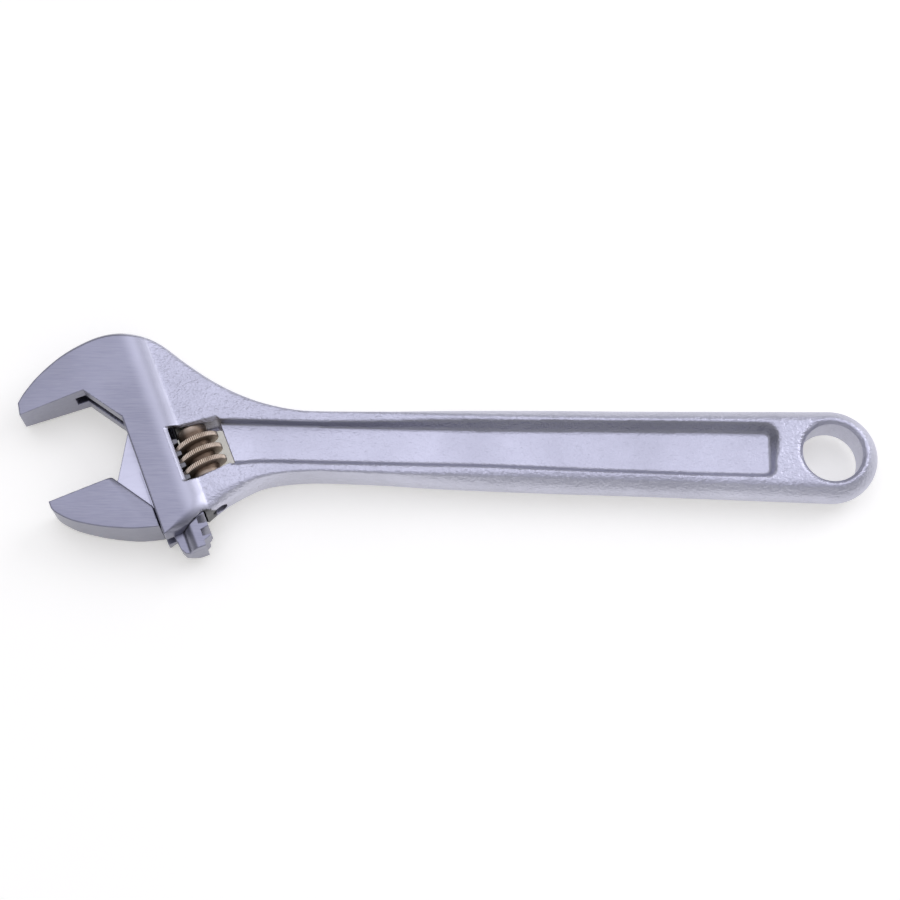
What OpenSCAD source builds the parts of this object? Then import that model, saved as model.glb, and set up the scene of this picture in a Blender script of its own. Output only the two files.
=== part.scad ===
// Adjustable wrench. The origin is the centre of the hanging hole at mid-thickness.
// +X runs away from the head, +Y is towards the fixed jaw's side and +Z is up through the flat handle.

/* [Handle] */
// Distance from the hanging hole to the centre of the knurl window, along X
head_x = 185.3; // [180:0.5:190]
// Thickness of the handle over its rims
handle_t = 12.1; // [11:0.1:13]
// Radius of the handle's rounded end
eye_r = 14; // [13.2:0.1:14.5]
// Diameter of the hanging hole
hang_hole_d = 17.6; // [16:0.1:18.4]
// Width of the hanging hole's edge chamfer
hang_chamfer = 1.2; // [0.6:0.1:1.4]
// Thickness of the web between the two recessed panels
web_t = 5.4; // [4.5:0.1:7]

/* [Head] */
// Angle of the jaw faces to the handle
head_angle = 22.5; // [22.5:0.5:23]
// Thickness of the head over the jaw rail
head_t = 14.8; // [14.6:0.1:16]
// Thickness of the jaws at their tips
tip_t = 10.5; // [9.5:0.1:12]
// Length of the knurl window along the rail
window_l = 17.8; // [17.6:0.1:18]
// Width of the knurl window
window_w = 15.8; // [15.6:0.1:16.2]

/* [Jaws] */
// Opening between the jaws as modelled
opening = 28.4; // [27:0.1:30]
// Length of each jaw face, from the throat to the tip
jaw_l = 19.8; // [18:0.1:20]
// Thickness of the movable jaw's sliding web
slide_t = 4.8; // [4.4:0.1:5]
// Diameter of the movable jaw's round rail
rail_d = 11.5; // [11:0.1:11.6]
// Thickness of the rail over its two flats
rail_flat_t = 10.2; // [9.8:0.1:10.4]

/* [Knurl] */
// Pitch of the rack and of the knurl's thread
pitch = 3.85; // [3.8:0.01:3.9]
// Outer diameter of the knurl's thread
knurl_d = 13.9; // [13.7:0.1:13.9]
// Core diameter of the knurl
knurl_core_d = 8.8; // [8.4:0.1:8.8]
// Diameter of the pin that the knurl turns on
pin_d = 3.8; // [3.6:0.1:4]

/* [Hidden] */
$fn = 64;
steel = [0.74, 0.74, 0.80];
bronze = [0.52, 0.43, 0.32];
cut = 40;             // half length of cutters that pass right through
eps = 0.02;

head_y = -2.3;        // the window's centre lies just below the handle's axis
handle_h = handle_t / 2;
head_h = head_t / 2;

// Head frame: origin at the window's centre, p along the jaw faces, q along the rail.
grip_q = 28.2;                   // fixed jaw's gripping face
jaw_q = grip_q - opening;        // movable jaw's gripping face
throat_p = -25.4;
tip_p = throat_p - jaw_l;
lip_p = -17.5;                   // face of the head that the movable jaw's back runs along
lip_top_q = 16.2;
slide_gap = 0.3;                 // clearance between the movable jaw's back and the lip
closed_travel = opening - 0.1;
window_p = [-7.2, -7.2 + window_w];
window_q = [-9.3, -9.3 + window_l];
window_draw = [1.2, 1.5];        // how much shorter the window is on the handle's side, at each end

// Rail, rack and thread
rail_p = -7;
rail_crest_p = -4.8;
rack_root_p = -7.3;
rail_q = [-29, 4.9];
groove_q = -2.35;                // centre of one rack groove, at mid-thickness
bore_r = rail_d / 2 + 0.15;
bore_side_p = rail_crest_p + 0.4; // flat side of the bore, beside the rack's crests
knurl_q = [-8.3, 7.35];
thread_q = [-8.2, 5.6];
knurl_r = knurl_d / 2;
core_r = knurl_core_d / 2;
crest_w = 1.45;                  // width of the thread at its crest
flank = 0.34;                    // how much wider the thread is at its root, on each side
backlash = 0.22;                 // clearance on each flank of the rack groove
lead_angle = atan(pitch / (2 * PI * 5.7));
pin_r = pin_d / 2;
pin_q = [-15.6, 13];
pin_mouth_r = 2.3;               // wider mouth of the pin's hole, at the neck's lower edge
pocket_r = 3.1;                  // spring pocket in the knurl's top end
pocket_l = 4.35;
spring_r = 2.45;
spring_end_q = 7.3;
wire_r = 0.3;

// ---------- helpers ----------

// Places its children, drawn in the head frame
module in_head() {
    translate([-head_x, head_y, 0])
        rotate([0, 0, head_angle])
            children();
}

// Turns a drawing of X across and Z up into a prism along q
module along_q(q0, q1) {
    translate([0, q1, 0])
        rotate([90, 0, 0])
            linear_extrude(q1 - q0)
                children();
}

// A plate of the given thickness, centred on mid-thickness
module plate(t) {
    linear_extrude(t, center = true)
        children();
}

// Head-frame outline point [p, q, inset, power], in the wrench's own frame
function from_head(h) = [
    -head_x + h[0] * cos(head_angle) - h[1] * sin(head_angle),
    head_y + h[0] * sin(head_angle) + h[1] * cos(head_angle),
    h[2],
    h[3]
];

// Catmull-Rom curve through a list of points, n steps to a span
function blend(a, b, c, d, t) = 0.5 * (
    2 * b + (c - a) * t + (2 * a - 5 * b + 4 * c - d) * t * t
    + (3 * b - a - 3 * c + d) * t * t * t
);
function curve(pts, n) = [
    for (i = [0 : len(pts) - 2])
        for (k = [0 : n - 1])
            blend(pts[max(i - 1, 0)], pts[i], pts[i + 1], pts[min(i + 2, len(pts) - 1)], k / n),
    pts[len(pts) - 1]
];

// ---------- body ----------

// Outlines at mid-thickness as [x, y, inset, power]. The inset is how far the side has drawn in
// where it meets the flat face. A higher power keeps the side upright for longer before it turns in.
round_in = 3.8;
upper_side = [
    [0, eye_r, round_in, 2.2], [-30, 13.4, round_in, 2.2], [-57, 12.9, round_in, 2.2],
    [-86, 12.5, 3.6, 2.2], [-115, 11.7, 2.5, 2.2], [-132, 10.7, 1.3, 2.2], [-149, 9.8, 0.5, 2.2],
    [-157, 10.2, 0.6, 2.2], [-165, 11.9, 0.9, 2.5], [-174, 15, 1.4, 3], [-182, 19, 1.8, 3],
    [-190, 24.3, 2, 3], [-198, 30.2, 2, 3], [-204, 32.8, 2, 3], [-210, 33.6, 2, 3],
    [-216, 32.6, 2, 3], [-222, 29.8, 2, 3], [-228, 25.4, 1.8, 3], [-233.5, 19.4, 1.4, 3],
    [-237, 14.2, 1, 3], [-238.8, 10.3, 0.4, 3]
];
throat = [
    [tip_p, grip_q, 0, 3], [throat_p, grip_q, 0, 3], [lip_p, lip_top_q, 0, 3], [lip_p, -22.4, 0, 3]
];
chin = [
    [-17.1, -22.7, 0.5, 3], [-12, -22.3, 2.3, 6], [-8, -21.2, 3.2, 7], [-4, -20, 4.4, 8],
    [-1, -19.1, 3.8, 6], [2, -18.3, 3.1, 4], [5, -17.7, 2.5, 3.5]
];
lower_side = [
    [-170, -14.4, 2, 3], [-165.5, -12.1, 1.1, 2.5], [-160, -10.5, 0.5, 2.2],
    [-154, -9.8, 0.4, 2.2], [-148, -9.7, 0.5, 2.2], [-132, -10.6, 1.3, 2.2],
    [-115, -11.7, 2.5, 2.2], [-86, -12.5, 3.6, 2.2], [-57, -12.9, round_in, 2.2],
    [-30, -13.4, round_in, 2.2], [0, -eye_r, round_in, 2.2]
];
eye_end = [for (a = [-80 : 10 : 80]) [eye_r * cos(a), eye_r * sin(a), round_in, 2.2]];

function outline() = concat(
    curve(upper_side, 3),
    [for (h = throat) from_head(h)],
    curve(concat([for (h = chin) from_head(h)], lower_side), 3),
    eye_end
);

// Outward unit normal of a closed counter-clockwise outline at point i
function side_normal(o, i) =
    let (a = o[(i + len(o) - 1) % len(o)], b = o[(i + 1) % len(o)], d = [b[0] - a[0], b[1] - a[1]])
        [d[1], -d[0]] / norm(d);

// The forging's outer shape: rings of the outline, drawn in towards both faces
levels = [-7.6, -6.6, -5.5, -3.8, -1.4, 1.4, 3.8, 5.5, 6.6, 7.6];
// Half thickness of the forging at an outline point. Along the chin it follows the face profile.
function head_p(h) = (h[0] + head_x) * cos(head_angle) + (h[1] - head_y) * sin(head_angle);
function half_t(h) = h[1] < -8 && h[0] < -166
    ? lookup(head_p(h), face_profile)
    : handle_h + (head_h - handle_h) * min(max((-168 - h[0]) / 14, 0), 1);
function drawn_in(h, z) = h[2] * pow(min(abs(z) / half_t(h), 1.1), h[3]);

module forging() {
    o = outline();
    n = len(o);
    rings = [
        for (z = levels)
            for (i = [0 : n - 1])
                let (s = side_normal(o, i), k = drawn_in(o[i], z))
                    [o[i][0] - s[0] * k, o[i][1] - s[1] * k, z]
    ];
    walls = [
        for (j = [0 : len(levels) - 2])
            for (i = [0 : n - 1])
                [j * n + i, j * n + n + i, j * n + n + (i + 1) % n, j * n + (i + 1) % n]
    ];
    low_cap = [for (i = [0 : n - 1]) i];
    high_cap = [for (i = [n - 1 : -1 : 0]) (len(levels) - 1) * n + i];
    polyhedron(rings, concat(walls, [low_cap, high_cap]), convexity = 6);
}

// Side view of the faces: tapered jaw, full-thickness head, neck and handle
face_profile = [
    [-60, 3.7], [tip_p, tip_t / 2], [throat_p, head_h - 0.05], [-9, head_h], [-6, head_h - 0.4],
    [-3.1, 5.7], [12, handle_h], [260, handle_h]
];

module faces() {
    along_q(-150, 150)
        polygon(concat(face_profile, [for (i = [len(face_profile) - 1 : -1 : 0])
            [face_profile[i][0], -face_profile[i][1]]]));
}

// Recessed panel between the handle's rims. Its walls lean out more towards the hole, and less on the
// movable jaw's side.
panel_end = -18.2;
module panel_plan(lean, neck_half, corner) {
    end_half = 6.1 + lean;
    low_half = 6.6 + 0.8 * lean;
    polygon(concat(
        [[-176, neck_half], [-182, neck_half], [-176, -neck_half]],
        [for (a = [-90 : 15 : 0]) [
            panel_end + lean - corner + corner * cos(a), corner - low_half + corner * sin(a)
        ]],
        [for (a = [0 : 15 : 90]) [
            panel_end + lean - corner + corner * cos(a), end_half - corner + corner * sin(a)
        ]]
    ));
}
module panel() {
    hull() {
        translate([0, 0, web_t / 2])
            linear_extrude(0.1)
                panel_plan(0, 5.7, 1.8);
        translate([0, 0, handle_h + 0.5])
            linear_extrude(0.5)
                panel_plan(2.8, 6.5, 4);
    }
}

module hang_hole() {
    cylinder(h = 2 * cut, d = hang_hole_d, center = true);
    for (s = [0, 1])
        mirror([0, 0, s])
            translate([0, 0, handle_h - hang_chamfer])
                cylinder(h = 2 * hang_chamfer, d1 = hang_hole_d, d2 = hang_hole_d + 4 * hang_chamfer);
}

// Space for the rail, open at the chin: round, with a flat side where it runs beside the rack
module rail_bore() {
    bore_end_q = rail_q[1] + closed_travel + 0.9;
    intersection() {
        translate([rail_p, -cut, 0])
            rotate([-90, 0, 0])
                cylinder(h = cut + bore_end_q, r = bore_r);
        translate([rail_p - 2 * bore_r, -cut - 1, -bore_r - 1])
            cube([bore_side_p - rail_p + 2 * bore_r, cut + bore_end_q + 2, 2 * bore_r + 2]);
    }
}

// The knurl pin's hole and its wider mouth
module pin_hole() {
    translate([0, -cut, 0])
        rotate([-90, 0, 0]) {
            cylinder(h = cut + pin_q[1], r = pin_r);
            cylinder(h = cut + pin_q[0], r = pin_mouth_r);
        }
}

// Flat space for the web of the movable jaw, open at the lip and the chin
module slide_slot() {
    plate(slide_t + 0.3)
        polygon([
            [-28.6, -cut], [-28.6, 28.2], [-20.9, 40.2], [-18.9, 41.3], [-16.4, 41.4],
            [-11, 38.4], [-7.5, 34], [-7.5, -cut]
        ]);
}

module body() {
    color(steel)
        difference() {
            intersection() {
                forging();
                in_head()
                    faces();
            }
            hang_hole();
            for (s = [0, 1])
                mirror([0, 0, s])
                    panel();
            in_head() {
                plate(2 * cut)
                    polygon([
                        [window_p[0], window_q[0]], [window_p[1], window_q[0] + window_draw[0]],
                        [window_p[1], window_q[1] - window_draw[1]], [window_p[0], window_q[1] + 0.1]
                    ]);
                rail_bore();
                slide_slot();
                pin_hole();
            }
        }
}

// ---------- movable jaw ----------

back_p = lip_p - slide_gap;      // the jaw's back, which runs along the lip
ramp_foot = [throat_p - 0.1, jaw_q];
ramp_end = [back_p, jaw_q - 11.8];
beak_low = [
    [-45.2, -2.2], [-44.2, -4.3], [-41, -7.9], [-37, -10.9], [-32.3, -13.8],
    [-26, -16.9], [-22, -18.3], [back_p, -19.4]
];
beak_outline = concat([[tip_p, jaw_q]], curve(beak_low, 3), [ramp_end, ramp_foot]);

module beak() {
    intersection() {
        plate(2 * head_h)
            polygon(beak_outline);
        along_q(-cut, cut)
            polygon([
                [-60, 3.6], [tip_p, tip_t / 2 - 0.1], [throat_p, 6.9], [0, 6.9],
                [0, -6.9], [throat_p, -6.9], [tip_p, 0.1 - tip_t / 2], [-60, -3.6]
            ]);
    }
}

// Sloping shoulder between the thick beak and the thin web
module shoulder() {
    run = ramp_end - ramp_foot;
    for (s = [0, 1])
        mirror([0, 0, s])
            translate([ramp_foot[0], ramp_foot[1], 0])
                rotate([0, 0, atan2(run[1], run[0])])
                    rotate([90, 0, 90])
                        translate([0, 0, -cut])
                            linear_extrude(2 * cut)
                                polygon([
                                    [eps, slide_t / 2], [-0.4, slide_t / 2 + 0.9], [-1, 5.4],
                                    [-1.3, 7], [-1.3, 12], [4, 12], [4, slide_t / 2]
                                ]);
}

module slide_web() {
    plate(slide_t)
        polygon([
            [-34, -7], [-24.9, jaw_q - 0.2], [-17.8, 12.2], [-16.6, 12.6], [-11.3, 9.4], [-8, 4.9],
            [-8, rail_q[0]], [-12.3, rail_q[0]], [-13.6, -28.4], [-14.4, -26.8], [-14.9, -23],
            [-15.3, -20.4], [-16.4, -19.4], [-24, -16]
        ]);
}

// Rack grooves, inclined by the thread's lead angle
module rack_grooves() {
    half_crest = crest_w / 2 + backlash;
    half_root = half_crest + flank;
    for (k = [-7 : 2])
        translate([0, groove_q + k * pitch, 0])
            rotate([-lead_angle, 0, 0])
                plate(2 * head_t)
                    polygon([
                        [rack_root_p, -half_crest], [rail_crest_p + 1, -half_root - 0.15],
                        [rail_crest_p + 1, half_root + 0.15], [rack_root_p, half_crest]
                    ]);
}

// Relief at the rack's lower end, which leaves the rail at root level there
module rack_end() {
    plate(2 * head_t)
        polygon([
            [rack_root_p, rail_q[0] - 1], [rack_root_p, -27.4], [rail_crest_p + 1, -26.2],
            [rail_crest_p + 1, rail_q[0] - 1]
        ]);
}

module rail() {
    intersection() {
        translate([rail_p, rail_q[0], 0])
            rotate([-90, 0, 0])
                cylinder(h = rail_q[1] - rail_q[0], d = rail_d);
        translate([rail_p - rail_d, rail_q[0] - 1, -rail_flat_t / 2])
            cube([rail_d + rail_crest_p - rail_p, rail_q[1] - rail_q[0] + 2, rail_flat_t]);
    }
}

module movable_jaw() {
    color(steel)
        in_head() {
            difference() {
                beak();
                shoulder();
            }
            slide_web();
            difference() {
                rail();
                rack_grooves();
                rack_end();
            }
        }
}

// ---------- knurl, pin and spring ----------

// Right-handed thread. It is centred on the rack's grooves where it faces the rail.
module thread(steps) {
    turns = (thread_q[1] - thread_q[0] - crest_w - 2 * flank) / pitch;
    n = ceil(turns * steps);
    half_crest = crest_w / 2;
    half_root = half_crest + flank;
    base_r = core_r - 0.4;
    first = thread_q[0] + half_root;
    // angle from -p, where the thread is level with a groove at groove_q
    start = 360 * (first - groove_q) / pitch;
    rings = [
        for (i = [0 : n])
            let (
                a = start + 360 * turns * i / n,
                q = first + turns * pitch * i / n,
                fade = min(1, 6 * i / steps, 6 * (n - i) / steps),
                r = base_r + (knurl_r - base_r) * (0.3 + 0.7 * fade)
            )
                for (e = [[base_r, -half_root], [r, -half_crest], [r, half_crest], [base_r, half_root]])
                    [-e[0] * cos(a), q + e[1], e[0] * sin(a)]
    ];
    sides = [
        for (i = [0 : n - 1])
            for (k = [0 : 3])
                [4 * i + k, 4 * i + (k + 1) % 4, 4 * i + 4 + (k + 1) % 4, 4 * i + 4 + k]
    ];
    polyhedron(rings, concat(sides, [[3, 2, 1, 0], [4 * n, 4 * n + 1, 4 * n + 2, 4 * n + 3]]));
}

module adjusting_knurl() {
    color(bronze)
        in_head()
            difference() {
                union() {
                    translate([0, knurl_q[0], 0])
                        rotate([-90, 0, 0])
                            cylinder(h = knurl_q[1] - knurl_q[0], r = core_r);
                    thread(36);
                }
                rotate([-90, 0, 0])
                    cylinder(h = 2 * cut, r = pin_r + 0.05, center = true);
                translate([0, knurl_q[1] - pocket_l, 0])
                    rotate([-90, 0, 0])
                        cylinder(h = pocket_l + 1, r = pocket_r);
            }
}

module knurl_pin() {
    color(steel)
        in_head()
            translate([0, pin_q[0], 0])
                rotate([-90, 0, 0])
                    cylinder(h = pin_q[1] - pin_q[0], r = pin_r);
}

module knurl_spring() {
    turns = 5;
    steps = 16;
    n = turns * steps;
    q0 = knurl_q[1] - pocket_l + wire_r + 0.1;
    q1 = spring_end_q;
    sides = 8;
    rings = [
        for (i = [0 : n])
            let (a = 360 * i / steps, q = q0 + (q1 - q0) * i / n)
                for (k = [0 : sides - 1])
                    let (w = 360 * k / sides, r = spring_r + wire_r * cos(w))
                        [r * cos(a), q + wire_r * sin(w), r * sin(a)]
    ];
    walls = [
        for (i = [0 : n - 1])
            for (k = [0 : sides - 1])
                [sides * i + k, sides * i + sides + k, sides * i + sides + (k + 1) % sides,
                    sides * i + (k + 1) % sides]
    ];
    low_end = [for (k = [0 : sides - 1]) k];
    high_end = [for (k = [sides - 1 : -1 : 0]) sides * n + k];
    color(steel)
        in_head()
            polyhedron(rings, concat(walls, [low_end, high_end]));
}

body();
movable_jaw();
adjusting_knurl();
knurl_pin();
knurl_spring();
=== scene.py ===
import math
import bpy
import numpy as np
from mathutils import Matrix, Vector


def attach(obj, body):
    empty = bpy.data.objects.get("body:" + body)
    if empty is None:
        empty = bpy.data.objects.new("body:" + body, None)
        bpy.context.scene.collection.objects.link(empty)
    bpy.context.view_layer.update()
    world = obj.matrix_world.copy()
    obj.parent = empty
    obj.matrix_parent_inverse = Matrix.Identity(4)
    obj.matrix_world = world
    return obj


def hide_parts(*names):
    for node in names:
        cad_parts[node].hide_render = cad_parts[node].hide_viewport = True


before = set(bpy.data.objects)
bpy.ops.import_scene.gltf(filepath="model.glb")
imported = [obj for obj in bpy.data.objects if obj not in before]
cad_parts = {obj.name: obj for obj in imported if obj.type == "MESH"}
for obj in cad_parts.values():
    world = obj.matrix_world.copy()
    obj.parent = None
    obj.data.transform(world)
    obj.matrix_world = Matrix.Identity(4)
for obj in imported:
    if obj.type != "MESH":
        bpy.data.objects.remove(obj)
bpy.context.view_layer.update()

# All lengths below are millimetres, as in the CAD; MM turns them into metres.
# x, y, z is the wrench's frame. p, q is the head frame: p along the jaw faces, q along the rail.
MM = 0.001
HEAD_ANGLE = math.radians(22.5)
COS, SIN = math.cos(HEAD_ANGLE), math.sin(HEAD_ANGLE)
HEAD = (-185.3, -2.3)

HANDLE_H, HEAD_H = 6.05, 7.4        # half thicknesses
EYE_R, HOLE_R, HOLE_CHAMFER_Z = 14, 8.8, 4.85
PANEL_Z, PANEL_END, PANEL_CORNER = 2.7, -18.2, 1.8
GRIP_Q, JAW_Q = 28.2, -0.2          # the gripping faces of the fixed and the movable jaw
THROAT_P, LIP_P, LIP_TOP_Q = -25.4, -17.5, 16.2
BACK_P = LIP_P - 0.3                # the movable jaw's back, which runs along the lip
SHOULDER_DROP = 11.8                # from the movable jaw's gripping face to the shoulder's lower end
WINDOW_P, WINDOW_Q = (-7.2, 8.6), (-9.3, 8.5)
RAIL_P, RAIL_R, RAIL_H, RAIL_Q = -7, 5.75, 5.1, (-29, 4.9)
CREST_P, ROOT_P, GROOVE_Q, PITCH = -4.8, -7.3, -2.35, 3.85
BORE_R, BORE_SIDE_P, BORE_END_Q = RAIL_R + 0.15, CREST_P + 0.4, 34.1
WEB_H, SLOT_H = 2.4, 2.55
PIN_R, PIN_MOUTH_R, PIN_Q = 1.9, 2.3, (-15.6, 13)
KNURL_R, KNURL_CORE_R, THREAD_Q = 6.95, 4.4, (-8.2, 5.6)
LEAD = math.atan(PITCH / (2 * math.pi * 5.7))


def to_head(x, y):
    dx, dy = x - HEAD[0], y - HEAD[1]
    return dx * COS + dy * SIN, dy * COS - dx * SIN


def from_head(p, q):
    return HEAD[0] + p * COS - q * SIN, HEAD[1] + p * SIN + q * COS


def smooth(a, b, v):
    t = np.clip((v - a) / (b - a), 0, 1)
    return t * t * (3 - 2 * t)


def ramp_up(v, w):
    """0 below -w, v above w, with a smooth bend between."""
    return np.where(v > w, v, np.maximum(v + w, 0) ** 2 / (4 * w))


def both(a, b, r):
    """Where two shapes overlap, with a convex edge of radius r."""
    u, v = np.maximum(a + r, 0), np.maximum(b + r, 0)
    return np.minimum(-r, np.maximum(a, b)) + np.sqrt(u * u + v * v)


def either(a, b, r):
    return -both(-a, -b, r)


def curve(points, n):
    """Catmull-Rom curve through the points, n steps to a span."""
    p = np.array(points, float)
    p = np.vstack([p[:1], p, p[-1:]])
    out = []
    for i in range(1, len(p) - 2):
        a, b, c, d = p[i - 1:i + 3]
        for t in np.arange(n) / n:
            out.append(0.5 * (2 * b + (c - a) * t + (2 * a - 5 * b + 4 * c - d) * t * t
                              + (3 * b - a - 3 * c + d) * t ** 3))
    return out + [p[-2]]


def polygon_field(poly, x, y):
    """Signed distance to a closed polygon, and its other columns at the nearest point."""
    poly = np.asarray(poly, float)
    best = np.full(x.shape, 1e9)
    inside = np.zeros(x.shape, bool)
    found = [np.zeros(x.shape) for _ in range(poly.shape[1] - 2)]
    for a, b in zip(poly, np.roll(poly, -1, 0)):
        dx, dy = b[0] - a[0], b[1] - a[1]
        span = dx * dx + dy * dy
        if span < 1e-12:
            continue
        t = np.clip(((x - a[0]) * dx + (y - a[1]) * dy) / span, 0, 1)
        far = (x - a[0] - t * dx) ** 2 + (y - a[1] - t * dy) ** 2
        near = far < best
        best = np.where(near, far, best)
        for k in range(len(found)):
            found[k] = np.where(near, a[k + 2] + t * (b[k + 2] - a[k + 2]), found[k])
        if dy:
            inside ^= ((a[1] > y) != (b[1] > y)) & (x < a[0] + (y - a[1]) * dx / dy)
    return (np.sqrt(best) * np.where(inside, -1, 1), *found)


class Plan:
    """Fields of a polygon kept on a fine even grid, read back by bilinear interpolation."""

    def __init__(self, poly, low, high, step):
        self.low, self.step = low, step
        nx, ny = (int((high[k] - low[k]) / step) + 2 for k in (0, 1))
        x = low[0] + step * np.arange(nx)
        y = low[1] + step * np.arange(ny)
        grid = np.meshgrid(x, y, indexing="ij")
        self.fields = polygon_field(poly, *grid)
        self.shape = (nx, ny)

    def __call__(self, x, y):
        u = np.clip((x - self.low[0]) / self.step, 0, self.shape[0] - 1.001)
        v = np.clip((y - self.low[1]) / self.step, 0, self.shape[1] - 1.001)
        i, j = u.astype(int), v.astype(int)
        u, v = u - i, v - j
        out = []
        for f in self.fields:
            out.append((f[i, j] * (1 - u) + f[i + 1, j] * u) * (1 - v)
                       + (f[i, j + 1] * (1 - u) + f[i + 1, j + 1] * u) * v)
        return out


# ---------- body ----------
# Outline points are [x, y, inset, power]: how far the side draws in at the flat face, and how late.
ROUND_IN = 3.8
UPPER = [
    [0, 14, ROUND_IN, 2.2], [-30, 13.4, ROUND_IN, 2.2], [-57, 12.9, ROUND_IN, 2.2],
    [-86, 12.5, 3.6, 2.2], [-115, 11.7, 2.5, 2.2], [-132, 10.7, 1.3, 2.2], [-149, 9.8, 0.5, 2.2],
    [-157, 10.2, 0.6, 2.2], [-165, 11.9, 0.9, 2.5], [-174, 15, 1.4, 3], [-182, 19, 1.8, 3],
    [-190, 24.3, 2, 3], [-198, 30.2, 2, 3], [-204, 32.8, 2, 3], [-210, 33.6, 2, 3],
    [-216, 32.6, 2, 3], [-222, 29.8, 2, 3], [-228, 25.4, 1.8, 3], [-233.5, 19.4, 1.4, 3],
    [-237, 14.2, 1, 3], [-238.8, 10.3, 0.4, 3],
]
NOSE = [[-237.7, 6, 0, 3], [-235.5, -4, 0, 3]]
CHIN = [
    [-30, -25, 0.5, 3], [-21, -23.4, 0.5, 3], [-17.1, -22.7, 0.5, 3], [-12, -22.3, 2.3, 6],
    [-8, -21.2, 3.2, 7], [-4, -20, 4.4, 8], [-1, -19.1, 3.8, 6], [2, -18.3, 3.1, 4],
    [5, -17.7, 2.5, 3.5],
]
LOWER = [
    [-170, -14.4, 2, 3], [-165.5, -12.1, 1.1, 2.5], [-160, -10.5, 0.5, 2.2],
    [-154, -9.8, 0.4, 2.2], [-148, -9.7, 0.5, 2.2], [-132, -10.6, 1.3, 2.2],
    [-115, -11.7, 2.5, 2.2], [-86, -12.5, 3.6, 2.2], [-57, -12.9, ROUND_IN, 2.2],
    [-30, -13.4, ROUND_IN, 2.2], [0, -14, ROUND_IN, 2.2],
]


def body_outline():
    chin = [[*from_head(p, q), inset, power] for p, q, inset, power in CHIN]
    turns = [math.radians(a) for a in range(-84, 90, 6)]
    eye = [[EYE_R * math.cos(a), EYE_R * math.sin(a), ROUND_IN, 2.2] for a in turns]
    return curve(UPPER, 5) + NOSE + curve(chin + LOWER, 5) + eye


# The web's slot, in the head frame.
SLOT = [
    [-28.6, -60], [-28.6, GRIP_Q], [-20.9, 40.2], [-18.9, 41.3], [-16.4, 41.4], [-11, 38.4],
    [-7.5, 34], [-7.5, -60],
]
OUTLINE = Plan(body_outline(), (-241, -33), (17, 37), 0.4)
SLOT_PLAN = Plan(SLOT, (-48, -36), (8, 46), 0.4)


def bar_height(p):
    """Half thickness across the head's brushed bar, which is highest along its middle."""
    fall = 0.136 * smooth(-12, -20, p) + 0.0467 * np.maximum(p + 9, 0) ** 2
    return HEAD_H + 0.02 - fall - 0.104 * ramp_up(-24 - p, 4)


def face_height(p, q):
    """Half thickness over the bar and the neck, without the recessed panel."""
    neck = 5.62 + 0.43 * smooth(-5, 12, p) + 0.1 * smooth(8, 26, q) * (1 - smooth(2, 20, p))
    return np.where(p < -12, bar_height(p), np.maximum(bar_height(p), neck))


def side_wall(x, y, q, az, height):
    """Distance to the forging's side, which draws in from the middle to the flat faces."""
    d, inset, power = OUTLINE(x, y)
    half = HANDLE_H + (HEAD_H - HANDLE_H) * np.clip((-168 - x) / 14, 0, 1)
    at_chin = smooth(-8, -13, q) * smooth(-160, -170, x)
    half = half + (np.minimum(height + 0.05, half) - half) * at_chin
    k = np.minimum(az / half, 1.1)
    steep = inset * power * k ** (power - 1) / half
    return (d + inset * k ** power) / np.sqrt(1 + steep * steep)


def panel_wall(x, y, az):
    """Distance to the leaning wall round the recessed panel, negative inside it."""
    places = [-176, -160, -130, -101, -66, -36]
    upper, lower = [5.85, 5.75, 5.35, 5.25, 5.75, 6.1], [5.6, 5.4, 5.5, 5.5, 6.3, 6.75]
    half_w = np.where(y < 0, np.interp(x, places, lower), np.interp(x, places, upper))
    half_w = half_w + np.where(y < 0, 0.6 * smooth(-166, -175, x), 0.3 * smooth(-178.5, -181.5, x))
    lower_lean, upper_lean = 0.38, 0.1 + 0.65 * smooth(-158, -98, x)
    lean = lower_lean + (upper_lean - lower_lean) * smooth(-4.5, 4.5, y)
    cx, cy = x - PANEL_END + PANEL_CORNER, np.abs(y) - half_w + PANEL_CORNER
    outside = np.sqrt(np.maximum(cx, 0) ** 2 + np.maximum(cy, 0) ** 2)
    plan = outside + np.minimum(np.maximum(cx, cy), 0) - PANEL_CORNER
    return (plan - lean * (az - PANEL_Z)) / np.sqrt(1 + lean * lean)


def window_field(p, q, az, height):
    """The knurl's window, narrower towards the handle, with its left and top walls bevelled."""
    across = p - WINDOW_P[0]
    left = WINDOW_P[0] - 0.1 + np.clip((height - az) / 0.6, 0, 1)
    bevel = np.clip((height - az) / (height - 4.7), 0, 1) * smooth(4.45, 4.7, az)
    top = WINDOW_Q[1] - 0.105 * (across - 1.2) - (0.35 + 0.04 * across) * bevel
    bottom = WINDOW_Q[0] + 0.075 * across
    return both(np.maximum(left - p, p - WINDOW_P[1]), np.maximum(bottom - q, q - top), 0.8)


def throat_field(p, q):
    """The opening between the jaws: fixed gripping face, throat and lip."""
    slope = (p - LIP_P) * 0.835 + (q - LIP_TOP_Q) * 0.55
    return np.minimum(np.minimum(GRIP_Q - q, LIP_P - p), -slope)


def inner_cuts(p, q, z):
    """The rail's bore with its flat side, the web's slot and the pin's hole with its wider mouth."""
    bore = np.maximum(np.sqrt((p - RAIL_P) ** 2 + z * z) - BORE_R, q - BORE_END_Q)
    bore = both(bore, p - BORE_SIDE_P, 0.5)
    slot = np.maximum(SLOT_PLAN(p, q)[0], np.abs(z) - SLOT_H)
    around = np.sqrt(p * p + z * z)
    pin = np.maximum(around - PIN_R, q - PIN_Q[1])
    mouth = np.maximum(around - PIN_MOUTH_R, q - PIN_Q[0])
    return np.minimum(np.minimum(bore, slot), np.minimum(pin, mouth))


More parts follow.
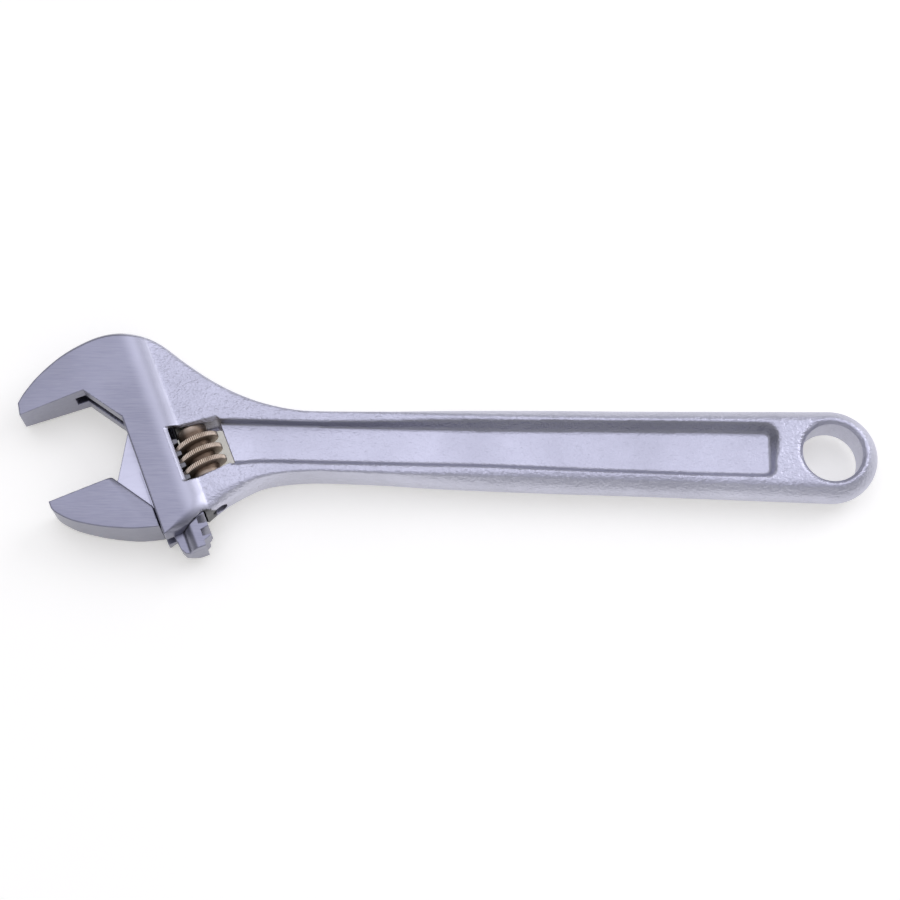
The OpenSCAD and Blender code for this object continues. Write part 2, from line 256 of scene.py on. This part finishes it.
def body_field(x, y, z):
    p, q = to_head(x, y)
    az = np.abs(z)
    height = face_height(p, q)
    forged = smooth(-4.5, -2.5, p)
    f = both(side_wall(x, y, q, az, height), az - height, 0.3 + 0.4 * forged)
    f = both(f, throat_field(p, q), 0.2 + 0.3 * smooth(20, 15, q))

    panel = both(both(panel_wall(x, y, az), PANEL_Z - az, 0.9), 7.5 - p, 0.1)
    f = both(f, -panel, 0.75)
    f = both(f, -window_field(p, q, az, height), 0.25)
    f = both(f, -inner_cuts(p, q, z), 0.22)

    ring = np.sqrt(x * x + y * y) - HOLE_R
    chamfer = (ring - az + HOLE_CHAMFER_Z) * math.sqrt(0.5)
    return both(f, -np.minimum(ring, chamfer), 0.5)


# ---------- movable jaw, drawn in the head frame ----------
BEAK = [[-45.2, 6]] + curve([
    [-45.2, -2.2], [-44.2, -4.3], [-41, -7.9], [-37, -10.9], [-32.3, -13.8], [-26, -16.9], [-22, -18.3],
    [BACK_P, -19.4], [-12, -20.6],
], 5) + [[-12, 6]]
WEB = [
    [-34, -7], [-24.9, JAW_Q - 0.2], [BACK_P, 12.2], [-16.6, 12.6], [-11.3, 9.4], [-8, 4.9], [-8, -29],
    [-12.3, -29], [-13.6, -28.4], [-14.4, -26.8], [-14.9, -23], [-15.3, -20.4], [-16.4, -19.4], [-24, -16],
]
BEAK_PLAN = Plan(BEAK, (-48, -37), (0, 16), 0.3)
WEB_PLAN = Plan(WEB, (-48, -37), (0, 16), 0.3)
def past_shoulder(p, q):
    """Distance past the shoulder, on to the web, and the share of the way down it."""
    foot = (THROAT_P - 0.1, JAW_Q)
    run = np.array([BACK_P - foot[0], -SHOULDER_DROP])
    length = math.hypot(*run)
    run = run / length
    dp, dq = p - foot[0], q - foot[1]
    return dq * run[0] - dp * run[1], np.clip((dp * run[0] + dq * run[1]) / length, 0, 1)


def beak_field(p, q, az):
    """The thick end of the jaw, with a shoulder that falls to the web and softens down its length."""
    plan = both(both(BEAK_PLAN(p, q)[0], q - JAW_Q, 0.12), p - BACK_P, 0.2)
    side, along = past_shoulder(p, q)
    taper = 6.9 - 0.088 * ramp_up(THROAT_P - p, 5) - 0.5 * smooth(2 + 4 * along, 0, -side)
    rounded = np.sqrt(1 - (1 - np.clip(-side, 0, 1)) ** 2)
    fall = 2.35 + 4.4 * rounded + 2 * np.maximum(-side - 1, 0)
    return both(plan, both(az - taper, (az - fall) * 0.7, 0.4), 0.3)


def rail_field(p, q, z):
    """The round rail with its flats, and the rack cut in the side next to the knurl."""
    round_rail = np.sqrt((p - RAIL_P) ** 2 + z * z) - RAIL_R
    rail = both(both(round_rail, np.abs(z) - RAIL_H, 0.2), p - CREST_P, 0.2)
    rail = both(rail, np.maximum(RAIL_Q[0] - q, q - RAIL_Q[1]), 0.3)
    pitch = PITCH * math.cos(LEAD)
    along = (q - GROOVE_Q) * math.cos(LEAD) - z * math.sin(LEAD)
    off_groove = np.abs((along + pitch / 2) % pitch - pitch / 2)
    groove = np.maximum(ROOT_P - p, (off_groove - 0.945 - 0.14 * (p - ROOT_P)) / 1.01)
    end_cut = np.maximum(ROOT_P - p, (q + 27.4) - 0.34 * (p - ROOT_P))
    return both(rail, -np.minimum(groove, end_cut), 0.15)


def jaw_field(p, q, z):
    az = np.abs(z)
    web = both(WEB_PLAN(p, q)[0], az - WEB_H, 0.25)
    return either(either(beak_field(p, q, az), web, 0.15), rail_field(p, q, z), 0.25)


# ---------- meshing ----------
def gradient(field, x, y, z, h=0.03):
    g = np.stack([
        field(x + h, y, z) - field(x - h, y, z),
        field(x, y + h, z) - field(x, y - h, z),
        field(x, y, z + h) - field(x, y, z - h),
    ], 1)
    return g / np.maximum(np.linalg.norm(g, axis=1), 1e-9)[:, None]


def crossings(field, axes, values, axis):
    """Grid edges along one axis that meet the surface: their cells, crossing points and start sides."""
    a = np.take(values, range(values.shape[axis] - 1), axis)
    b = np.take(values, range(1, values.shape[axis]), axis)
    where = np.argwhere((a < 0) != (b < 0))
    for k in range(3):
        if k != axis:
            where = where[(where[:, k] > 0) & (where[:, k] < values.shape[k] - 1)]
    f0, f1 = a[tuple(where.T)], b[tuple(where.T)]
    t0, t1 = np.zeros(len(f0)), np.ones(len(f0))
    start = np.stack([step[where[:, k]] for k, step in enumerate(axes)], 1)
    length = axes[axis][where[:, axis] + 1] - start[:, axis]

    def point(t):
        at = start.copy()
        at[:, axis] += t * length
        return at

    for _ in range(4):
        t = t0 + (t1 - t0) * f0 / (f0 - f1)
        margin = 0.05 * (t1 - t0)
        t = np.clip(t, t0 + margin, t1 - margin)
        ft = field(*point(t).T)
        low = (ft < 0) == (f0 < 0)
        t0, f0 = np.where(low, t, t0), np.where(low, ft, f0)
        t1, f1 = np.where(low, t1, t), np.where(low, f1, ft)
    return where, point(t0 + (t1 - t0) * f0 / (f0 - f1)), f0 < 0


def corner_normals(field, points, quads):
    """A point's own normal at each quad corner, or one from inside the quad where an edge is sharp."""
    own = gradient(field, *points.T)
    middle = points[quads].mean(1)
    corners = np.empty((len(quads), 4, 3))
    for k in range(4):
        at = points[quads[:, k]] * 0.55 + middle * 0.45
        n = gradient(field, *at.T)
        v = own[quads[:, k]]
        same = (n * v).sum(1) > math.cos(math.radians(14))
        corners[:, k] = np.where(same[:, None], v, n)
    return corners


MATRIX_TERMS = ((0, 0), (1, 1), (2, 2), (0, 1), (0, 2), (1, 2))


def skin(field, axes):
    """Dual contouring of a field on an uneven grid: points, quads and a normal for each quad corner."""
    shape = tuple(len(step) for step in axes)
    values = np.empty(shape)
    for i in range(0, shape[0], 40):
        values[i:i + 40] = field(*np.meshgrid(axes[0][i:i + 40], axes[1], axes[2], indexing="ij"))
    cells = tuple(n - 1 for n in shape)
    count = cells[0] * cells[1] * cells[2]
    mass, hits = np.zeros((count, 3)), np.zeros(count)
    ata, atb = np.zeros((count, 6)), np.zeros((count, 3))
    quads = []
    for axis in range(3):
        where, at, inside = crossings(field, axes, values, axis)
        n = gradient(field, *at.T)
        dot = (n * at).sum(1)
        terms = [n[:, r] * n[:, c] for r, c in MATRIX_TERMS]
        o1, o2 = [k for k in range(3) if k != axis]
        ring = []
        for s1, s2 in ((-1, -1), (0, -1), (0, 0), (-1, 0)):
            cell = where.copy()
            cell[:, o1] += s1
            cell[:, o2] += s2
            ids = (cell[:, 0] * cells[1] + cell[:, 1]) * cells[2] + cell[:, 2]
            ring.append(ids)
            for k in range(3):
                mass[:, k] += np.bincount(ids, at[:, k], count)
                atb[:, k] += np.bincount(ids, n[:, k] * dot, count)
            for k in range(6):
                ata[:, k] += np.bincount(ids, terms[k], count)
            hits += np.bincount(ids, minlength=count)
        ring = np.stack(ring, 1)
        flip = inside != (axis == 1)
        ring[~flip] = ring[~flip][:, ::-1]
        quads.append(ring)

    # the point of each used cell that lies nearest its crossing planes, pulled a little to their mean
    ids = np.flatnonzero(hits)
    weight = 0.04 * hits[ids]
    full = weight[:, None, None] * np.eye(3)
    for k, (r, c) in enumerate(MATRIX_TERMS):
        full[:, r, c] += ata[ids, k]
        if r != c:
            full[:, c, r] += ata[ids, k]
    right = atb[ids] + weight[:, None] * mass[ids] / hits[ids, None]
    points = np.linalg.solve(full, right[:, :, None])[:, :, 0]
    cell = np.stack(np.unravel_index(ids, cells), 1)
    for k, step in enumerate(axes):
        low, high = step[cell[:, k]], step[cell[:, k] + 1]
        slack = 0.1 * (high - low)
        points[:, k] = np.clip(points[:, k], low - slack, high + slack)
    lookup = np.full(count, -1)
    lookup[ids] = np.arange(len(ids))
    quads = lookup[np.vstack(quads)]
    return points, quads, corner_normals(field, points, quads)


def piece(name, points, faces, normals=None, attributes=None):
    mesh = bpy.data.meshes.new(name)
    mesh.vertices.add(len(points))
    mesh.vertices.foreach_set("co", (np.asarray(points) * MM).astype(np.float32).ravel())
    faces = np.asarray(faces)
    mesh.loops.add(faces.size)
    mesh.loops.foreach_set("vertex_index", faces.astype(np.int32).ravel())
    mesh.polygons.add(len(faces))
    starts = np.arange(0, faces.size, faces.shape[1], dtype=np.int32)
    mesh.polygons.foreach_set("loop_start", starts)
    mesh.update(calc_edges=True)
    mesh.validate()
    for key, values in (attributes or {}).items():
        layer = mesh.attributes.new(key, "FLOAT", "POINT")
        layer.data.foreach_set("value", np.asarray(values, np.float32))
    mesh.polygons.foreach_set("use_smooth", np.ones(len(mesh.polygons), bool))
    if normals is not None and len(mesh.loops) == faces.size:
        mesh.normals_split_custom_set(np.asarray(normals, float).reshape(-1, 3).tolist())
    obj = bpy.data.objects.new(name, mesh)
    bpy.context.scene.collection.objects.link(obj)
    return obj


def steps(stops):
    """Grid lines from (start, end, step) runs."""
    out = []
    for a, b, s in stops:
        n = max(1, round((b - a) / s))
        out += list(np.linspace(a, b, n, endpoint=False))
    return np.array(out + [stops[-1][1]])


def body_shell():
    fine = 0.36
    points, quads, corners = skin(body_field, (
        steps([(-240.1, -168, fine), (-168, -158, 0.6), (-158, -26, 1.1), (-26, 15.1, 0.42)]),
        steps([(-31.1, 35.1, fine)]),
        steps([(-7.83, 7.83, 0.348)]),
    ))
    x, y, z = points.T
    p, q = to_head(x, y)
    az = np.abs(z)
    off_wall = panel_wall(x, y, az)
    on_wall = (np.abs(off_wall) < 0.45) & (az > PANEL_Z + 0.2) & (az < 5.8) & (p > WINDOW_P[1] + 0.3)
    on_floor = (off_wall < 0.2) & (az < PANEL_Z + 0.4) & (p > 7.5)
    round_rail = np.sqrt((p - RAIL_P) ** 2 + z ** 2)
    in_bore = (p > LIP_P + 0.1) & (q < BORE_END_Q + 0.2) & (round_rail < BORE_R + 0.2)
    unlit = in_bore & ((p < -7.4) | (az < 5.7))
    return piece("wrench_body", points, quads, corners, {
        "forged": smooth(-4.6, -3.4, p),
        "peel": smooth(-3.6, -2, p) * np.where(on_floor, 0.55, 0.9),
        # painted shade: the colour is darkened where shade falls, fully inside the rail's bore (unlit) and
        # up to half on the panel's leaning wall, strongest on its upper (+y) side
        "painted_shade": np.maximum(unlit * 1.0, on_wall * 0.5 * smooth(-3, 5, y)),
        # painted highlight: the lighter forged colour is laid over the head's boss towards its right
        # flank, on the flat faces only
        "painted_highlight": 0.75 * smooth(-11, -5.5, p) * (az > 5.4),
    })


def jaw_shell():
    points, quads, corners = skin(jaw_field, (
        steps([(-46.1, -3.9, 0.31)]), steps([(-30.1, 13.7, 0.31)]), steps([(-7.3, 7.3, 0.31)]),
    ))
    p, q, z = points.T
    turned = corners.copy()
    turned[..., 0] = corners[..., 0] * COS - corners[..., 1] * SIN
    turned[..., 1] = corners[..., 0] * SIN + corners[..., 1] * COS
    # painted highlight: the web, which faces up to the light, takes the lighter forged colour
    web = smooth(-0.4, 0.6, past_shoulder(p, q)[0]) * (np.abs(z) < WEB_H + 0.2) * (p < -16)
    nothing = np.zeros(len(points))
    return piece("movable_jaw_shell", np.stack([*from_head(p, q), z], 1), quads, turned, {
        "forged": nothing, "peel": nothing, "painted_highlight": 0.9 * web,
        # painted shade on the rack teeth where they run inside the body's bore; the teeth outside it keep
        # their colour
        "painted_shade": 0.9 * smooth(ROOT_P - 0.05, ROOT_P + 0.3, p) * smooth(-19, -15, q),
    })


body, jaw = body_shell(), jaw_shell()


# ---------- knurl ----------
def knurl_mesh():
    """A collared core and a helical crest with straight knurling, both drawn round the knurl's axis."""
    verts, faces, lift = [], [], []

    def ring_grid(rings, marks, closed):
        base = len(verts)
        n, m = len(rings), len(rings[0])
        for r, k in zip(rings, marks):
            verts.extend(r)
            lift.extend(k)
        for i in range(n - (0 if closed else 1)):
            for k in range(m):
                a, b = base + i * m + k, base + i * m + (k + 1) % m
                c, d = base + (i + 1) % n * m + (k + 1) % m, base + (i + 1) % n * m + k
                faces.append((a, d, c, b))
        return base

    # core: a revolved profile of (radius, q) points, bored for the pin and the spring
    core = [
        (1.96, -8.3), (4.0, -8.3), (4.25, -8.22), (4.38, -8.0), (4.4, -7.0), (4.4, 6.85), (4.38, 7.05),
        (4.25, 7.27), (4.0, 7.35), (3.3, 7.35), (3.12, 7.25), (3.1, 3.05), (3.0, 3.0), (1.95, 3.0),
    ]
    dense = []
    for (r0, q0), (r1, q1) in zip(core, core[1:] + core[:1]):
        n = max(1, int(abs(q1 - q0) / 1.6))
        dense += [(r0 + (r1 - r0) * k / n, q0 + (q1 - q0) * k / n) for k in range(n)]
    rings, marks = [], []
    for i in range(96):
        a = 2 * math.pi * i / 96
        rings.append([(-r * math.cos(a), q, r * math.sin(a)) for r, q in dense])
        marks.append([0.6 if q > 6.2 or q < -7.6 else 0.0 for r, q in dense])
    ring_grid(rings, marks, True)

    # thread: half widths at the crest and the root, and radii
    half_c, half_r = 0.725, 1.065
    low_r, top_r = KNURL_CORE_R - 0.45, KNURL_R - 0.02
    turns = (THREAD_Q[1] - THREAD_Q[0] - 2 * half_r) / PITCH
    per_turn, teeth = 288, 72
    n = math.ceil(turns * per_turn)
    first = THREAD_Q[0] + half_r
    start = 2 * math.pi * (first - GROOVE_Q) / PITCH
    rings, marks = [], []
    for i in range(n + 1):
        a = start + 2 * math.pi * turns * i / n
        q = first + turns * PITCH * i / n
        fade = min(1, 9 * i / per_turn, 9 * (n - i) / per_turn)
        fade = fade * fade * (3 - 2 * fade)
        cut = 0.24 * (0.5 - 0.5 * math.cos(teeth * (a - start))) ** 1.5
        top = low_r + (top_r - low_r) * (0.22 + 0.78 * fade)
        hatch = cut * fade
        # (radius, offset) up one flank to the middle of the crest
        flank = [
            (low_r, half_r), ((low_r + top) / 2, (half_r + half_c) / 2), (top - 0.3, half_c + 0.02),
            (top - 0.1 - hatch, half_c - 0.03), (top - hatch, half_c - 0.14),
        ]
        shape = [(r, -e) for r, e in flank] + [(top - hatch, 0)] + flank[::-1] + [(low_r - 0.3, 0)]
        rings.append([(-r * math.cos(a), q + e, r * math.sin(a)) for r, e in shape])
        high = 1 - 2.6 * cut
        marks.append([0.0, 0.2, 0.55, high, high, high, high, high, 0.55, 0.2, 0.0, 0.0])
    base = ring_grid(rings, marks, False)
    m = len(rings[0])
    for first_ring, order in ((base, 1), (base + n * m, -1)):
        ids = [first_ring + k for k in range(m)][::order]
        for k in range(1, m - 2, 2):
            faces.append((ids[0], ids[k], ids[k + 1], ids[min(k + 2, m - 1)]))
    return np.array(verts), np.array(faces), np.array(lift)


verts, faces, lift = knurl_mesh()
x, y = from_head(verts[:, 0], verts[:, 1])
knurl = piece("knurl_thread", np.stack([x, y, verts[:, 2]], 1), faces, None, {"lift": lift})
knurl.data.set_sharp_from_angle(angle=math.radians(32))


# ---------- materials ----------
class Nodes:
    def __init__(self, name):
        self.mat = bpy.data.materials.new(name)
        self.mat.use_nodes = True
        self.tree = self.mat.node_tree
        self.shader = next(n for n in self.tree.nodes if n.type == "BSDF_PRINCIPLED")

    def link(self, a, b):
        self.tree.links.new(a, b)

    def mix(self, factor, a, b):
        node = self.tree.nodes.new("ShaderNodeMix")
        node.data_type = "RGBA"
        for socket, value in ((node.inputs[0], factor), (node.inputs[6], a), (node.inputs[7], b)):
            if isinstance(value, bpy.types.NodeSocket):
                self.link(value, socket)
            else:
                socket.default_value = value
        return node.outputs[2]

    def maths(self, op, a, b):
        node = self.tree.nodes.new("ShaderNodeMath")
        node.operation = op
        for socket, value in zip(node.inputs, (a, b)):
            if isinstance(value, bpy.types.NodeSocket):
                self.link(value, socket)
            else:
                socket.default_value = value
        return node.outputs[0]

    def noise(self, scale, stretch=(1, 1, 1), turn=0.0, detail=3.0, rough=0.55):
        coords = self.tree.nodes.new("ShaderNodeTexCoord")
        mapping = self.tree.nodes.new("ShaderNodeMapping")
        mapping.inputs["Rotation"].default_value = (0, 0, turn)
        mapping.inputs["Scale"].default_value = stretch
        self.link(coords.outputs["Object"], mapping.inputs["Vector"])
        tex = self.tree.nodes.new("ShaderNodeTexNoise")
        tex.inputs["Scale"].default_value = scale
        tex.inputs["Detail"].default_value = detail
        tex.inputs["Roughness"].default_value = rough
        self.link(mapping.outputs[0], tex.inputs["Vector"])
        return tex.outputs["Fac"]

    def attribute(self, name):
        node = self.tree.nodes.new("ShaderNodeAttribute")
        node.attribute_name = name
        return node.outputs["Fac"]

    def ramp(self, value, low, high):
        node = self.tree.nodes.new("ShaderNodeMapRange")
        node.inputs["From Min"].default_value = low
        node.inputs["From Max"].default_value = high
        self.link(value, node.inputs["Value"])
        return node.outputs[0]

    def bump(self, height, distance, strength, before=None):
        node = self.tree.nodes.new("ShaderNodeBump")
        node.inputs["Distance"].default_value = distance
        if isinstance(strength, bpy.types.NodeSocket):
            self.link(strength, node.inputs["Strength"])
        else:
            node.inputs["Strength"].default_value = strength
        self.link(height, node.inputs["Height"])
        if before is not None:
            self.link(before, node.inputs["Normal"])
        return node.outputs[0]

    def set(self, **inputs):
        for key, value in inputs.items():
            socket = self.shader.inputs[key.replace("_", " ")]
            if isinstance(value, bpy.types.NodeSocket):
                self.link(value, socket)
            else:
                socket.default_value = value


MACHINED = (0.3, 0.302, 0.374, 1)
MACHINED_DARK = (0.25, 0.252, 0.315, 1)
FORGED = (0.62, 0.622, 0.72, 1)
FORGED_DARK = (0.54, 0.542, 0.63, 1)
# colour of the painted shade
PAINTED_SHADE_COLOUR = (0.15, 0.15, 0.155, 1)
BRUSHED_SHINE = (0.5, 0.5, 0.56, 1)


def chrome(name):
    """Chrome plate: brushed where the steel is machined, with an orange peel where it is forged, and a
    painted highlight and painted shade read from the mesh.
    """
    n = Nodes(name)
    forged_at, painted_highlight_at = n.attribute("forged"), n.attribute("painted_highlight")
    brushed = n.noise(260, (0.6, 9, 4), -HEAD_ANGLE, 4, 0.6)
    cloud = n.noise(45, detail=4)
    peel = n.noise(1750, (0.75, 1, 1), detail=2.5, rough=0.5)
    soft = n.noise(560, detail=1.5)
    height = n.maths("ADD", n.maths("MULTIPLY", peel, 0.6), n.maths("MULTIPLY", soft, 0.6))
    mottle = n.ramp(cloud, 0.35, 0.7)
    machined = n.mix(mottle, MACHINED, MACHINED_DARK)
    streaks = n.maths("MULTIPLY", n.ramp(brushed, 0.35, 0.7), 0.25)
    machined = n.mix(streaks, machined, BRUSHED_SHINE)
    forged = n.mix(mottle, FORGED, FORGED_DARK)
    # painted highlight: where the mesh asks for it, machined steel takes the lighter forged colour
    base = n.mix(n.maths("MAXIMUM", forged_at, painted_highlight_at), machined, forged)
    # painted shade: the colour is darkened towards a dark grey where the mesh marks shade
    base = n.mix(n.attribute("painted_shade"), base, PAINTED_SHADE_COLOUR)
    rough_brushed = n.maths("ADD", 0.27, n.maths("MULTIPLY", brushed, 0.14))
    rough_cast = n.maths("ADD", 0.34, n.maths("MULTIPLY", cloud, 0.12))
    machined_at = n.maths("SUBTRACT", 1.0, forged_at)
    rough_cast = n.maths("MULTIPLY", forged_at, rough_cast)
    rough = n.maths("ADD", rough_cast, n.maths("MULTIPLY", machined_at, rough_brushed))
    first = n.bump(height, 0.00045, n.attribute("peel"))
    second = n.bump(brushed, 0.00003, n.maths("MULTIPLY", machined_at, 0.3), first)
    n.set(Base_Color=base, Metallic=1.0, Roughness=rough, Normal=second)
    return n.mat


def knurl_material():
    n = Nodes("browned_knurl_steel")
    lift_at = n.attribute("lift")
    grime = n.noise(420, detail=5, rough=0.65)
    fine = n.noise(1500, detail=3)
    low = n.mix(n.ramp(grime, 0.3, 0.7), (0.13, 0.09, 0.062, 1), (0.25, 0.18, 0.13, 1))
    high = n.mix(n.ramp(grime, 0.35, 0.75), (0.86, 0.74, 0.61, 1), (0.56, 0.45, 0.35, 1))
    base = n.mix(lift_at, low, high)
    rough = n.maths("ADD", 0.34, n.maths("MULTIPLY", grime, 0.22))
    n.set(Base_Color=base, Metallic=0.85, Roughness=rough, Normal=n.bump(fine, 0.00006, 0.5))
    return n.mat


def plain_steel(name, colour, rough, scale):
    n = Nodes(name)
    grain = n.noise(scale, (1, 1, 1), 0, 4)
    base = n.mix(n.ramp(grain, 0.3, 0.7), colour, tuple(c * 0.75 for c in colour[:3]) + (1,))
    rough = n.maths("ADD", rough, n.maths("MULTIPLY", grain, 0.15))
    n.set(Base_Color=base, Metallic=1.0, Roughness=rough, Normal=n.bump(grain, 0.00003, 0.3))
    return n.mat


def wear(obj, material):
    obj.data.materials.clear()
    obj.data.materials.append(material)


wear(body, chrome("satin_chrome_body"))
wear(jaw, chrome("satin_chrome_jaw"))
wear(knurl, knurl_material())
pin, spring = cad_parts["knurl_pin"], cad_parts["knurl_spring"]
wear(pin, plain_steel("turned_pin_steel", (0.5, 0.48, 0.46, 1), 0.3, 900))
wear(spring, plain_steel("spring_wire_steel", (0.45, 0.42, 0.4, 1), 0.28, 1500))

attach(body, "body")
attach(jaw, "jaw")
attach(knurl, "knurl")
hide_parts("body")
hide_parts("movable_jaw")
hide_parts("adjusting_knurl")

# ---------- floor, light and camera ----------
FLOOR_Z = -(HEAD_H + 0.05) * MM
FLOOR_HALF = 3
mesh = bpy.data.meshes.new("floor")
edges = ((-1, -1), (1, -1), (1, 1), (-1, 1))
mesh.from_pydata([(FLOOR_HALF * a, FLOOR_HALF * b, FLOOR_Z) for a, b in edges], [], [(0, 1, 2, 3)])
floor = bpy.data.objects.new("floor", mesh)
bpy.context.scene.collection.objects.link(floor)
n = Nodes("pale_floor")
grain = n.noise(30, detail=2)
n.set(Base_Color=n.mix(grain, (0.93, 0.93, 0.89, 1), (0.95, 0.95, 0.91, 1)), Roughness=0.9)
n.set(Specular_IOR_Level=0.1, Emission_Color=(1, 0.98, 0.9, 1), Emission_Strength=0.33)
wear(floor, n.mat)

# the sky: a ramp from the floor's level to straight up, dimmed towards the viewer
world = bpy.data.worlds.new("studio")
bpy.context.scene.world = world
world.use_nodes = True
tree = world.node_tree
coords = tree.nodes.new("ShaderNodeTexCoord")
split = tree.nodes.new("ShaderNodeSeparateXYZ")
ramp = tree.nodes.new("ShaderNodeValToRGB")
horizon, zenith = ramp.color_ramp.elements
horizon.position, horizon.color = 0.05, (0.5, 0.5, 0.52, 1)
zenith.position, zenith.color = 0.9, (0.74, 0.74, 0.84, 1)
ramp.color_ramp.elements.new(0.45).color = (0.38, 0.38, 0.4, 1)
front = tree.nodes.new("ShaderNodeMapRange")
for key, value in (("From Min", -0.7), ("From Max", 0.1), ("To Min", 0.75), ("To Max", 1.0)):
    front.inputs[key].default_value = value
dim = tree.nodes.new("ShaderNodeVectorMath")
dim.operation = "SCALE"
tree.links.new(coords.outputs["Generated"], split.inputs[0])
tree.links.new(split.outputs["Z"], ramp.inputs[0])
tree.links.new(split.outputs["Y"], front.inputs["Value"])
tree.links.new(ramp.outputs[0], dim.inputs[0])
tree.links.new(front.outputs[0], dim.inputs["Scale"])
tree.links.new(dim.outputs[0], tree.nodes["Background"].inputs["Color"])
tree.nodes["Background"].inputs["Strength"].default_value = 1.0


def softbox(name, place, target, size, watts, colour=(1, 1, 1)):
    lamp = bpy.data.lights.new(name, "AREA")
    lamp.shape = "RECTANGLE"
    lamp.size, lamp.size_y = size
    lamp.energy = watts
    lamp.color = colour
    obj = bpy.data.objects.new(name, lamp)
    obj.location = place
    obj.rotation_euler = (Vector(target) - Vector(place)).to_track_quat("-Z", "Y").to_euler()
    bpy.context.scene.collection.objects.link(obj)


softbox("overhead", (-0.28, 0.3, 1.0), (-0.11, 0, 0), (1.0, 0.8), 1.6, (0.9, 0.9, 1))
softbox("right_key", (0.62, 0.5, 0.55), (-0.12, 0, 0), (0.6, 0.6), 2.6, (0.92, 0.92, 1))
softbox("front_low", (-0.12, -1.0, 0.34), (-0.12, 0, 0), (1.6, 0.22), 0.5)

# camera at the photo's viewing angle: turned by small angles from looking straight down
right = Vector((0.99978, 0.01636, 0.01338))
back = Vector((-0.0072, -0.33121, 0.94353)).normalized()
up = back.cross(right).normalized()
right = up.cross(back).normalized()
camera = bpy.data.cameras.new("camera")
camera.sensor_width = 36
camera.lens = 72.91
camera.clip_start = 0.01
eye = bpy.data.objects.new("camera", camera)
eye.matrix_world = Matrix((
    (right.x, up.x, back.x, -0.115666), (right.y, up.y, back.y, -0.177437),
    (right.z, up.z, back.z, 0.505776), (0, 0, 0, 1),
))
bpy.context.scene.collection.objects.link(eye)
bpy.context.scene.camera = eye
bpy.context.scene.view_settings.view_transform = "Standard"
